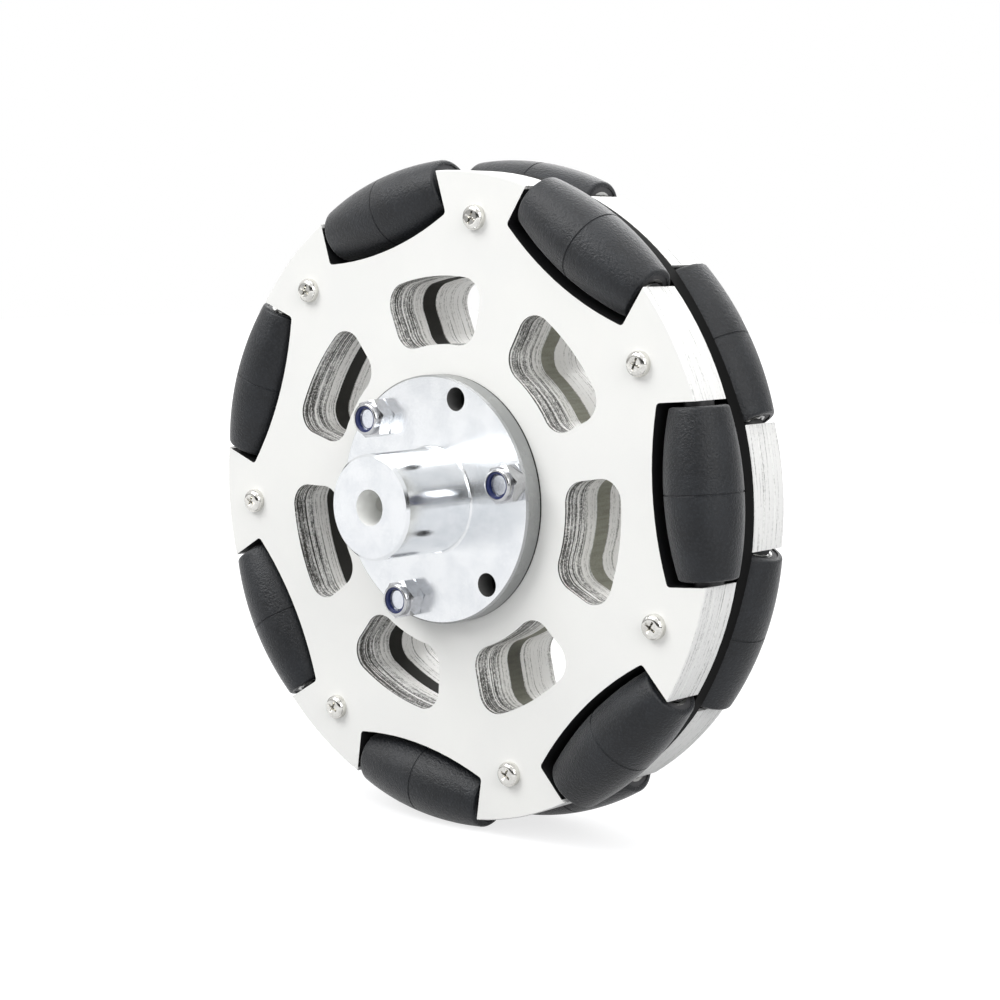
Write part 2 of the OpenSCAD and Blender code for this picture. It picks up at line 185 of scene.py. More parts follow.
class Shader:
    """A node material with one Principled shader, built from Python expressions."""

    def __init__(self, name: str, world: bpy.types.World | None = None) -> None:
        """Empties the nodes of a new material, or of a world, and gives a material its Principled shader.

        Args:
            name: the new material's name.
            world: the world to fill in place of a material.
        """
        owner = world or bpy.data.materials.new(name)
        owner.use_nodes = True
        tree = owner.node_tree
        tree.nodes.clear()
        self.tree = tree
        if world:
            return
        self.material = owner
        self.surface = tree.nodes.new("ShaderNodeBsdfPrincipled")
        output = tree.nodes.new("ShaderNodeOutputMaterial")
        tree.links.new(self.surface.outputs[0], output.inputs[0])
        coordinates = tree.nodes.new("ShaderNodeTexCoord")
        self.point = self.scaled(Sock(self, coordinates.outputs["Object"]), 1 / MM)
        self.normal = Sock(self, coordinates.outputs["Normal"])
        self.x, self.y, self.z = self.split(self.point)

    def node(
        self,
        kind: str,
        settings: dict[str, object] | None = None,
        inputs: dict[int | str, object] | None = None,
        output: int | str | None = 0,
    ) -> Sock | None:
        """Adds any node.

        Args:
            kind: the node's type name.
            settings: the node's own settings, set first; "stops" fills a colour ramp.
            inputs: values or links by socket name or number.
            output: the socket to return, or None for a node without outputs.

        Returns:
            The chosen output.
        """
        made = self.tree.nodes.new(kind)
        for key, value in (settings or {}).items():
            if key == "stops":
                self.fill_ramp(made.color_ramp, value)
            else:
                setattr(made, key, value)
        for key, value in (inputs or {}).items():
            if isinstance(value, Sock):
                self.tree.links.new(value.socket, made.inputs[key])
            else:
                made.inputs[key].default_value = value
        return None if output is None else Sock(self, made.outputs[output])

    @staticmethod
    def fill_ramp(ramp: bpy.types.ColorRamp, stops: list[tuple[float, float]]) -> None:
        """Gives a grey colour ramp its stops.

        Args:
            ramp: the ramp to fill.
            stops: place and grey value of each stop, in order.
        """
        while len(ramp.elements) > 1:
            ramp.elements.remove(ramp.elements[-1])
        for number, (place, value) in enumerate(stops):
            stop = ramp.elements[0] if number == 0 else ramp.elements.new(place)
            stop.position = place
            stop.color = (value, value, value, 1.0)

    def split(self, vector: Sock) -> tuple[Sock, Sock, Sock]:
        """Takes a vector apart.

        Args:
            vector: the vector.

        Returns:
            Its three parts.
        """
        parts = self.node("ShaderNodeSeparateXYZ", inputs={0: vector}).socket.node.outputs
        return Sock(self, parts[0]), Sock(self, parts[1]), Sock(self, parts[2])

    def join(self, x: Sock | float, y: Sock | float, z: Sock | float) -> Sock:
        """A vector from three parts."""
        return self.node("ShaderNodeCombineXYZ", inputs={0: x, 1: y, 2: z})

    def scaled(self, vector: Sock, factor: float) -> Sock:
        """A vector times a number."""
        return self.node("ShaderNodeVectorMath", {"operation": "SCALE"}, {0: vector, "Scale": factor})

    def noise(self, vector: Sock, grain: Grain) -> Sock:
        """Soft noise between 0 and 1.

        Args:
            vector: where the noise is read, in millimetres.
            grain: how coarse and how deep the noise is.

        Returns:
            The noise value.
        """
        inputs = {"Vector": vector, "Scale": grain.scale, "Detail": grain.detail, "Roughness": grain.rough}
        return self.node("ShaderNodeTexNoise", {"noise_dimensions": "3D"}, inputs)

    def mix(self, factor: Sock | float, first: Sock | Colour, second: Sock | Colour) -> Sock:
        """A colour between two, by a factor.

        Args:
            factor: 0 gives the first colour and 1 the second.
            first: a colour or a link.
            second: a colour or a link.

        Returns:
            The mixed colour.
        """
        ends = [(*c, 1.0) if isinstance(c, tuple) else c for c in (first, second)]
        inputs = {0: factor, 6: ends[0], 7: ends[1]}
        return self.node("ShaderNodeMix", {"data_type": "RGBA"}, inputs, 2)

    def bump(self, height: Sock, strength: float, depth_mm: float) -> Sock:
        """A normal pushed about by a height.

        Args:
            height: the height, 1 for the full depth.
            strength: how much of the effect shows.
            depth_mm: the full depth in millimetres.

        Returns:
            The bumped normal.
        """
        inputs = {"Strength": strength, "Distance": depth_mm * MM, "Height": height}
        return self.node("ShaderNodeBump", inputs=inputs)

    def set(self, **values: object) -> None:
        """Sets or links inputs of the Principled shader.

        Args:
            values: a value or a link for each input, by its name with _ for a space.
        """
        for key, value in values.items():
            socket = self.surface.inputs[key.replace("_", " ")]
            if isinstance(value, Sock):
                self.tree.links.new(value.socket, socket)
            elif isinstance(value, tuple):
                socket.default_value = (*value, 1.0)
            else:
                socket.default_value = value

    def across(self) -> Sock:
        """Distance from the wheel's axle line, in millimetres."""
        return self.length(self.join(self.x, 0.0, self.z))

    def length(self, vector: Sock) -> Sock:
        """The length of a vector."""
        return self.node("ShaderNodeVectorMath", {"operation": "LENGTH"}, {0: vector}, "Value")


# ---- Finishes --------------------------------------------------------------------------------


@dataclass(frozen=True)
class PlateFinish:
    """Satin aluminium sheet whose cut edges show the lines of the cut. Lengths in millimetres."""

    face: Colour = (0.855, 0.855, 0.83)
    face_cool: Colour = (0.80, 0.803, 0.79)
    bright: Colour = (0.96, 0.955, 0.935)
    rim_bright: Colour = (0.89, 0.89, 0.875)
    dark: Colour = (0.045, 0.043, 0.039)
    lit_plate_streak: Colour = (0.27, 0.265, 0.245)
    lit_plate_tone: float = 0.7
    slot_and_hole_shade: Colour = (0.010, 0.010, 0.011)
    rim_r: float = 72.4
    slot_r: float = 53.0
    hole_circle_r: float = 24.0
    hole_reach: float = 2.9
    face_limit: float = 0.8
    wander: Grain = Grain(0.09)
    wander_reach: float = 0.24
    line_wander: float = 1.5
    lines: Grain = Grain(1.0, 4.0, 0.65)
    lines_along: float = 0.05
    lines_across: float = 2.6
    specks: Grain = Grain(1.5, 4.0, 0.75)
    patches: Grain = Grain(0.25)
    glints: Grain = Grain(2.8, 1.0)
    clouds: Grain = Grain(0.06, 3.0)
    brushing: Grain = Grain(7.0)
    glint_band: tuple[float, float] = (0.60, 0.70)
    burr_and_shade_end: float = 0.10
    edge_highlight_rise: tuple[float, float] = (0.10, 0.16)
    edge_highlight_fall: tuple[float, float] = (0.20, 0.32)
    edge_highlight_gain: float = 0.65
    burr_and_shade_gain: float = 0.9
    glint_gain: float = 0.7
    wall_speck_gain: float = 2.6
    wall_line_gain: float = 5.0
    wall_patch_gain: float = 0.9
    rim_speck_gain: float = 1.7
    rim_line_gain: float = 3.6
    rim_level: float = 1.18
    cut_metal: float = 0.05
    cut_rough: float = 0.5
    satin_rough: float = 0.46
    satin_share: float = 0.5
    satin_band: tuple[float, float] = (0.35, 0.65)
    brushing_depth: float = 0.12
    speck_depth: float = 0.75
    line_depth: float = 0.35
    bump_strength: float = 0.6
    bump_depth: float = 0.09

    def cut_lines(self, s: Shader, wander: Sock) -> Sock:
        """The long lines that the cut leaves round a window or the rim.

        Args:
            s: the plate's shader.
            wander: how far the lines stray from level.

        Returns:
            The lines, 0 to 1.
        """
        along = self.lines_along
        across = s.y * self.lines_across + wander * self.line_wander
        return s.noise(s.join(s.x * along, across, s.z * along), self.lines)

    def wall_light(
        self, s: Shader, level: Sock, tones: tuple[float, float], specks: Sock, lines: Sock
    ) -> Sock:
        """How bright the cut wall of a window is.

        Args:
            s: the plate's shader.
            level: 0 at the plate's front face and 1 at its back face.
            tones: the painted light and shade of the wall at those two faces.
            specks: the pits in the wall.
            lines: the lines of the cut.

        Returns:
            The brightness, not yet held between 0 and 1.
        """
        patches = s.noise(s.point, self.patches)
        glints = s.noise(s.point, self.glints).ramp(*self.glint_band)
        # Painted shade and highlight: the dark line at the front face is partly burr and partly painted shade
        # between the stacked plates, and the bright band just behind it is a painted highlight.
        burr_and_shade = level.ramp(0.0, self.burr_and_shade_end, 1.0, 0.0)
        edge_highlight = level.ramp(*self.edge_highlight_rise) * level.ramp(*self.edge_highlight_fall, 1.0, 0.0)
        wall = level.ramp(0.0, 1.0, *tones) + edge_highlight * self.edge_highlight_gain - burr_and_shade * self.burr_and_shade_gain
        wall = wall + glints * self.glint_gain + specks.swing(self.wall_speck_gain)
        return wall + lines.swing(self.wall_line_gain) + patches.swing(self.wall_patch_gain)

    def material(
        self, name: str, span: tuple[float, float], tones: tuple[float, float]
    ) -> bpy.types.Material:
        """Builds the finish for one plate.

        Args:
            name: the material's name.
            span: where the plate starts and ends along the axle, in millimetres.
            tones: how bright the cut is in the windows at those two faces, painted light and shade, 1 for the
                metal's own brightness.

        Returns:
            The material.
        """
        s = Shader(name)
        face = abs(s.split(s.normal)[1]).above(self.face_limit)
        wander = s.noise(s.join(s.x, 0.0, s.z), self.wander) - 0.5
        level = (s.y - span[0]) / (span[1] - span[0]) + wander * self.wander_reach
        lines = self.cut_lines(s, wander)
        specks = s.noise(s.point, self.specks)
        wall = self.wall_light(s, level, tones, specks, lines)
        rim = lines.swing(self.rim_line_gain) + specks.swing(self.rim_speck_gain) + self.rim_level
        radius = s.across()
        on_rim = radius.above(self.rim_r)
        light = (wall * (1.0 - on_rim) + rim * on_rim).held()
        # Painted light: plates whose walls are painted lit get paler streaks, and the front plates, painted in
        # shade, get dark ones.
        wall_dark = self.lit_plate_streak if tones[0] > self.lit_plate_tone else self.dark
        streak = s.mix(on_rim, wall_dark, self.dark)
        edge = s.mix(light, streak, s.mix(on_rim, self.bright, self.rim_bright))
        # Painted shade: the walls of the slots and of the bolt holes are painted near black.
        in_slot = radius.above(self.slot_r) * (1.0 - on_rim)
        in_hole = abs(radius - self.hole_circle_r).below(self.hole_reach)
        edge = s.mix(in_slot.larger(in_hole), edge, self.slot_and_hole_shade)
        brushing = s.noise(s.point, self.brushing)
        cool = s.noise(s.point, self.clouds).blend(brushing, 0.4).ramp(*self.satin_band)
        satin = s.mix(cool * self.satin_share, self.face, self.face_cool)
        s.set(Base_Color=s.mix(face, edge, satin))
        s.set(Roughness=face.ramp(0.0, 1.0, self.cut_rough, self.satin_rough) + brushing.swing(0.1))
        s.set(Metallic=(1.0 - face) * (1.0 - in_slot) * (1.0 - on_rim) * self.cut_metal + self.cut_metal)
        cut_height = specks * self.speck_depth + lines * self.line_depth
        height = face * brushing * self.brushing_depth + (1.0 - face) * cut_height
        s.set(Normal=s.bump(height, self.bump_strength, self.bump_depth))
        return s.material


@dataclass(frozen=True)
class TurnedFinish:
    """Bright aluminium turned on a lathe, with its fine tool lines. Lengths in millimetres."""

    colour: Colour = (0.87, 0.885, 0.90)
    cloud_colour: Colour = (0.70, 0.73, 0.765)
    flange_edge_shade: Colour = (0.235, 0.24, 0.235)
    bore_light: Colour = (0.90, 0.905, 0.885)
    drilled_hole_shade: Colour = (0.13, 0.13, 0.128)
    seat_shadow: Colour = (0.030, 0.030, 0.031)
    inside_r: float = 11.0
    flange_r: float = 27.3
    hole_circle_r: float = 24.0
    hole_reach: float = 2.75
    seat_shadow_w: float = 0.45
    face_limit: float = 0.8
    rings: Grain = Grain(5.0, 3.0, 0.7)
    fine_rings: Grain = Grain(16.0, 1.0)
    laps: Grain = Grain(6.0, 3.0, 0.7)
    clouds: Grain = Grain(0.16, 3.0)
    grit: Grain = Grain(2.2, 3.0, 0.7)
    cloud_band: tuple[float, float] = (0.35, 0.65)
    cloud_share: float = 0.35
    tool_share: float = 0.3
    grit_share: float = 1.1
    edge_shade_share: float = 0.75
    dull: float = 0.9
    side_rough: float = 0.14
    face_more: float = 0.09
    edge_more: float = 0.14
    inside_more: float = 0.3
    uneven: float = 0.08
    line_strength: float = 0.6
    line_depth: float = 0.012

    def material(self, name: str, seat_y: float) -> bpy.types.Material:
        """Builds the finish for the hub.

        Args:
            name: the material's name.
            seat_y: where the flange meets the plates, in millimetres along the axle.

        Returns:
            The material.
        """
        s = Shader(name)
        facing = abs(s.split(s.normal)[1]).above(self.face_limit)
        side = 1.0 - facing
        radius = s.across()
        rings = s.noise(s.join(radius, 0.0, 0.0), self.rings)
        fine_rings = s.noise(s.join(radius, 3.0, 0.0), self.fine_rings)
        laps = s.noise(s.join(s.y, 7.0, 0.0), self.laps)
        tool = facing * rings.blend(fine_rings, 0.4) + side * laps
        cloud = s.noise(s.point, self.clouds)
        grit = s.noise(s.point, self.grit)
        inside = radius.below(self.inside_r) * side
        in_hole = abs(radius - self.hole_circle_r).below(self.hole_reach) * side
        on_edge = radius.above(self.flange_r) * side
        # Painted shadow: a thin dark line on the flange's edge where it meets the plates.
        in_seat_shadow = abs(s.y - seat_y).below(self.seat_shadow_w) * on_edge
        mottle = cloud.ramp(*self.cloud_band) * self.cloud_share + tool.swing(self.tool_share)
        mottle = mottle + grit.swing(self.grit_share)
        tint = s.mix(mottle.held(), self.colour, self.cloud_colour)
        # Painted shade: the flange's edge is darker than the rest of the hub.
        tint = s.mix(on_edge * self.edge_shade_share, tint, self.flange_edge_shade)
        tint = s.mix(in_seat_shadow, tint, self.seat_shadow)
        # Painted light: the bore's wall is pale and hardly metal, so the shaded bore looks lit.
        tint = s.mix(inside, tint, self.bore_light)
        # Painted shade: the walls of the flange's bolt holes are dark.
        s.set(Base_Color=s.mix(in_hole, tint, self.drilled_hole_shade))
        s.set(Metallic=1.0 - in_hole * self.dull - inside * self.dull)
        smooth = facing * self.face_more + self.side_rough
        smooth = smooth + on_edge * self.edge_more + inside * self.inside_more
        s.set(Roughness=smooth + cloud.swing(self.uneven) + tool.swing(self.uneven))
        s.set(Normal=s.bump(tool, self.line_strength, self.line_depth))
        return s.material


@dataclass(frozen=True)
class MetalFinish:
    """Plated or ground steel of a small part."""

    colour: Colour
    rough: float
    wear_and_lit_side: Colour
    grain_scale: float = 2.5
    depth_mm: float = 0.004
    stain: Grain = Grain(0.5)
    worn_band: tuple[float, float] = (0.38, 0.68)
    worn_share: float = 0.6
    uneven: float = 0.16
    strength: float = 0.4

    def material(self, name: str) -> bpy.types.Material:
        """Builds the finish.

        Args:
            name: the material's name.

        Returns:
            The material.
        """
        s = Shader(name)
        grain = s.noise(s.point, Grain(self.grain_scale, 4.0, 0.6))
        wear = s.noise(s.point, self.stain).blend(grain, 0.4).ramp(*self.worn_band)
        s.set(Base_Color=s.mix(wear * self.worn_share, self.colour, self.wear_and_lit_side))
        s.set(Roughness=grain.swing(self.uneven) + self.rough, Metallic=1.0)
        s.set(Normal=s.bump(grain, self.strength, self.depth_mm))
        return s.material


@dataclass(frozen=True)
class RubberFinish:
    """Matt moulded rubber with a fine spark-eroded grain and a faint bloom."""

    colour: Colour = (0.004, 0.005, 0.0068)
    bloom: Colour = (0.021, 0.0245, 0.030)
    rough: float = 0.37
    shine: float = 0.4
    sheen: float = 0.3
    sheen_rough: float = 0.35
    grain: Grain = Grain(1.9, 3.0, 0.6)
    fine: Grain = Grain(5.0)
    haze: Grain = Grain(0.12)
    raised_band: tuple[float, float] = (0.45, 0.68)
    raised_share: float = 0.55
    haze_band: tuple[float, float] = (0.4, 0.65)
    haze_share: float = 0.25
    fine_uneven: float = 0.2
    haze_uneven: float = 0.08
    grain_strength: float = 1.0
    grain_depth: float = 0.24

    def material(self, name: str) -> bpy.types.Material:
        """Builds the finish for the treads.

        Args:
            name: the material's name.

        Returns:
            The material.
        """
        s = Shader(name)
        grain = s.noise(s.point, self.grain)
        fine = s.noise(s.point, self.fine)
        haze = s.noise(s.point, self.haze)
        raised = grain.blend(fine, 0.3).ramp(*self.raised_band)
        pale = raised * self.raised_share + haze.ramp(*self.haze_band) * self.haze_share
        s.set(Base_Color=s.mix(pale, self.colour, self.bloom))
        s.set(Roughness=fine.swing(self.fine_uneven) + haze.swing(self.haze_uneven) + self.rough)
        s.set(Specular_IOR_Level=self.shine, Sheen_Weight=self.sheen, Sheen_Roughness=self.sheen_rough)
        s.set(Normal=s.bump(grain.blend(fine, 0.25), self.grain_strength, self.grain_depth))
        return s.material


@dataclass(frozen=True)
class MattFinish:
    """Moulded plastic, or blasted metal without shine."""

    colour: Colour
    rough: float
    pale: Colour
    grain_scale: float = 1.6
    depth_mm: float = 0.02
    lines: Grain = Grain(1.0, 3.0)
    lines_along: float = 0.08
    lines_across: float = 3.0
    pale_band: tuple[float, float] = (0.35, 0.75)
    pale_share: float = 0.5
    uneven: float = 0.15
    strength: float = 0.5

    def material(self, name: str) -> bpy.types.Material:
        """Builds the finish.

        Args:
            name: the material's name.

        Returns:
            The material.
        """
        s = Shader(name)
        along = self.lines_along
        grain = s.noise(s.point, Grain(self.grain_scale, 4.0, 0.6))
        lines = s.noise(s.join(s.x * along, s.y * self.lines_across, s.z * along), self.lines)
        pale = grain.blend(lines, 0.4).ramp(*self.pale_band)
        s.set(Base_Color=s.mix(pale * self.pale_share, self.colour, self.pale))
        s.set(Roughness=grain.swing(self.uneven) + self.rough)
        s.set(Normal=s.bump(grain.blend(lines, 0.3), self.strength, self.depth_mm))
        return s.material


@dataclass(frozen=True)
class SpacerFinish:
    """Black plastic sheet, its window walls painted lit grey on one side of the axle and in painted shade on
    the other.
    """

    black: Colour = (0.004, 0.004, 0.004)
    lit_grey: Colour = (0.40, 0.40, 0.335)
    lit_grey_dark: Colour = (0.30, 0.30, 0.25)
    shaded: Colour = (0.035, 0.034, 0.031)
    window_out_r: float = 53.0
    shade_x: tuple[float, float] = (4.0, 16.0)
    shade_top: float = 0.94
    shade_uneven: float = 0.12
    grain: Grain = Grain(2.4, 4.0, 0.6)
    teeth: Grain = Grain(1.0, 3.0)
    teeth_across: float = 1.2
    teeth_along: float = 0.15
    lit_grey_band: tuple[float, float] = (0.35, 0.65)
    rough: float = 0.65
    uneven: float = 0.15
    shine: float = 0.08
    strength: float = 0.5
    depth_mm: float = 0.03

    def material(self, name: str) -> bpy.types.Material:
        """Builds the finish for the spacer.

        Args:
            name: the material's name.

        Returns:
            The material.
        """
        s = Shader(name)
        across = self.teeth_across
        grain = s.noise(s.point, self.grain)
        teeth = s.noise(s.join(s.x * across, s.y * self.teeth_along, s.z * across), self.teeth)
        inside = s.across().below(self.window_out_r)
        # Painted light and shade: inside the windows the black sheet is painted lit grey towards +x and painted
        # shade towards -x, with the saw's teeth marks in the grey.
        lit_grey_wall = s.mix(grain.blend(teeth, 0.5).ramp(*self.lit_grey_band), self.lit_grey, self.lit_grey_dark)
        wear_and_lit_side = s.x.ramp(*self.shade_x) * self.shade_top + grain.swing(self.shade_uneven)
        s.set(Base_Color=s.mix(inside, self.black, s.mix(wear_and_lit_side.held(), self.shaded, lit_grey_wall)))
        s.set(Roughness=grain.swing(self.uneven) + self.rough, Specular_IOR_Level=self.shine)
        s.set(Normal=s.bump(grain.blend(teeth, 0.4), self.strength, self.depth_mm))
        return s.material


class Finish(Enum):
    """The finishes of the small parts."""

    CORE = MattFinish((0.045, 0.045, 0.048), 0.5, (0.075, 0.075, 0.08))
    INSERT = MattFinish((0.008, 0.015, 0.085), 0.3, (0.02, 0.035, 0.16), 4.0, 0.004)
    WASHER = MattFinish((0.022, 0.022, 0.023), 0.45, (0.04, 0.04, 0.042), 3.0, 0.006)
    BEARING = MetalFinish((0.50, 0.50, 0.49), 0.24, (0.36, 0.36, 0.35))
    PIN = MetalFinish((0.58, 0.58, 0.57), 0.22, (0.42, 0.42, 0.41))
    SCREW = MetalFinish((0.80, 0.79, 0.755), 0.13, (0.46, 0.45, 0.42), 3.0)
    BOLT = MetalFinish((0.78, 0.80, 0.85), 0.22, (0.64, 0.67, 0.72), 3.5)
    NUT = MetalFinish((0.58, 0.585, 0.60), 0.17, (0.36, 0.36, 0.37), 3.5)
    # Painted light: the set screw is pale and not metal, so that it looks lit inside the bore.
    SET_SCREW = MattFinish((0.80, 0.80, 0.77), 0.34, (0.66, 0.66, 0.63))


# ---- Building --------------------------------------------------------------------------------


def select_nothing() -> None:
    """Deselects every object, so that an operator acts only on what is made next."""
    bpy.ops.object.select_all(action="DESELECT")


def dress_node(node: str, material: bpy.types.Material) -> None:
    """Gives a CAD node its material.

    Args:
        node: the node's name.
        material: what fills its material slots.
    """
    thing = frame["nodes"][node]
    if not thing.material_slots:
        thing.data.materials.append(material)
    for place in thing.material_slots:
        place.material = material
    LOG.info("dressed %s with %s", node, material.name)


@dataclass
class Lathe:
    """Turns a closed section round the Z axis."""

    steps: int = 96
    sharp_angle: float = math.radians(35)

    def turn(self, name: str, section: list[tuple[float, float]]) -> bpy.types.Object:
        """Draws the section point by point and spins it.

        Args:
            name: the name of the piece.
            section: radius and height of each corner in metres, in order round the section.

        Returns:
            The turned piece, at the origin with its axis along Z.
        """
        select_nothing()
        radius, height = section[0]
        bpy.ops.mesh.primitive_plane_add(size=MM, location=(radius, 0, height))
        bpy.ops.object.transform_apply(location=True)
        piece = bpy.context.object
        piece.name = name
        bpy.ops.object.mode_set(mode="EDIT")
        bpy.ops.mesh.select_all(action="SELECT")
        bpy.ops.mesh.merge(type="CENTER")
        for (r_0, z_0), (r_1, z_1) in zip(section, section[1:] + section[:1]):
            bpy.ops.mesh.extrude_vertices_move(TRANSFORM_OT_translate={"value": (r_1 - r_0, 0, z_1 - z_0)})
        bpy.ops.mesh.select_all(action="SELECT")
        bpy.ops.mesh.remove_doubles(threshold=WELD)
        bpy.ops.mesh.spin(steps=self.steps, angle=2 * math.pi, center=(0, 0, 0), axis=(0, 0, 1))
        bpy.ops.mesh.select_all(action="SELECT")
        bpy.ops.mesh.remove_doubles(threshold=WELD)
        bpy.ops.mesh.normals_make_consistent(inside=False)
        bpy.ops.object.mode_set(mode="OBJECT")
        bpy.ops.object.shade_smooth_by_angle(angle=self.sharp_angle)
        return piece


def copy_to(piece: bpy.types.Object, name: str, place: Matrix) -> bpy.types.Object:
    """Copies a piece with its own mesh.

    Args:
        piece: the piece to copy.
        name: the copy's name.
        place: where the copy's mesh goes.

    Returns:
        The copy, whose object stays at the origin.
    """
    copy = bpy.data.objects.new(name, piece.data.copy())
    bpy.context.scene.collection.objects.link(copy)
    copy.data.transform(place)
    copy.data.update()
    return copy


def arc(centre: tuple[float, float], radius: float, first: float, last: float, steps: int) -> list:
    """Points along an arc of a section.

    Args:
        centre: radius and height of the arc's centre.
        radius: the arc's radius.
        first: the first point's angle in degrees, 0 outwards and 90 up.
        last: the last point's angle.
        steps: how many straight pieces the arc has.

    Returns:
        The points from first to last.
    """
    turns = [math.radians(first + (last - first) * i / steps) for i in range(steps + 1)]
    return [(centre[0] + radius * math.cos(t), centre[1] + radius * math.sin(t)) for t in turns]


@dataclass
class Treads:
    """The rubber barrels: one is turned, and each roller gets a copy. Sizes in metres."""

    wheel_r: float = 76.0 * MM
    axle_r: float = 67.6 * MM
    length: float = 36.2 * MM
    edge_r: float = 0.8 * MM
    seam_r: float = 0.22 * MM
    core_r: float = 5.22 * MM
    barrel_steps: int = 18
    edge_steps: int = 6

    def section(self) -> list[tuple[float, float]]:
        """Draws the tread's section from the foot of its bore, up the outside and down again.

        Returns:
            Radius and height of each corner.
        """
        end_z = self.length / 2 - self.edge_r
        reach = self.wheel_r - self.edge_r
        end_r = math.sqrt(reach**2 - end_z**2) - self.axle_r
        tilt = math.degrees(math.asin(end_z / reach))
        seam_tilt = math.degrees(self.seam_r / self.wheel_r)
        barrel = (-self.axle_r, 0.0)
        points = [(self.core_r, -self.length / 2)]
        points += arc((end_r, -end_z), self.edge_r, -90, -tilt, self.edge_steps)
        points += arc(barrel, self.wheel_r, -tilt, -seam_tilt, self.barrel_steps)[1:]
        points += arc((self.wheel_r - self.axle_r, 0), self.seam_r, -90, -270, self.edge_steps)[1:-1]
        points += arc(barrel, self.wheel_r, seam_tilt, tilt, self.barrel_steps)
        points += arc((end_r, end_z), self.edge_r, tilt, 90, self.edge_steps)[1:]
        points.append((self.core_r, self.length / 2))
        return points

    def build(self) -> None:
        """Turns the tread and puts a copy on every roller's joint."""
        pattern = Lathe().turn("tread_pattern", self.section())
        rubber = RubberFinish().material("tread_rubber")
        pattern.data.materials.append(rubber)
        for joint in frame["joints"]:
            axis = Vector(joint["axis"]).normalized()
            turn = Vector((0, 0, 1)).rotation_difference(axis).to_matrix().to_4x4()
            place = Matrix.Translation(Vector(joint["pos_m"])) @ turn
            row, _, number = joint["child"].split("_")
            tread = copy_to(pattern, f"rubber_{row}_{number}", place)
            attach(tread, joint["child"])
            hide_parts(f"{row}_tread_{number}")
            LOG.info("tread %s on %s", tread.name, joint["child"])
        bpy.data.objects.remove(pattern)


@dataclass
class Plates:
    """The six plates and the spacer between the rows, with the painted light and shade of each plate's cut
    windows.
    """

    # Painted light and shade: the window walls are painted dark on the front plates and bright on the back
    # ones, given per plate at its two faces.
    tones: tuple[tuple[str, float, float], ...] = (
        ("front_outer_plate", 0.06, 0.24),
        ("front_middle_plate", 0.34, 0.54),
        ("front_inner_plate", 0.80, 1.05),
        ("back_inner_plate", 1.00, 1.15),
        ("back_middle_plate", 1.15, 1.20),
        ("back_outer_plate", 1.05, 0.80),
    )

    def build(self) -> None:
        """Dresses each plate with the finish of its own thickness."""
        for node, first, last in self.tones:
            low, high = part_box(node)
            span = (low.y / MM, high.y / MM)
            dress_node(node, PlateFinish().material(f"{node}_satin", span, (first, last)))
        dress_node("spacer_plate", SpacerFinish().material("spacer_black"))


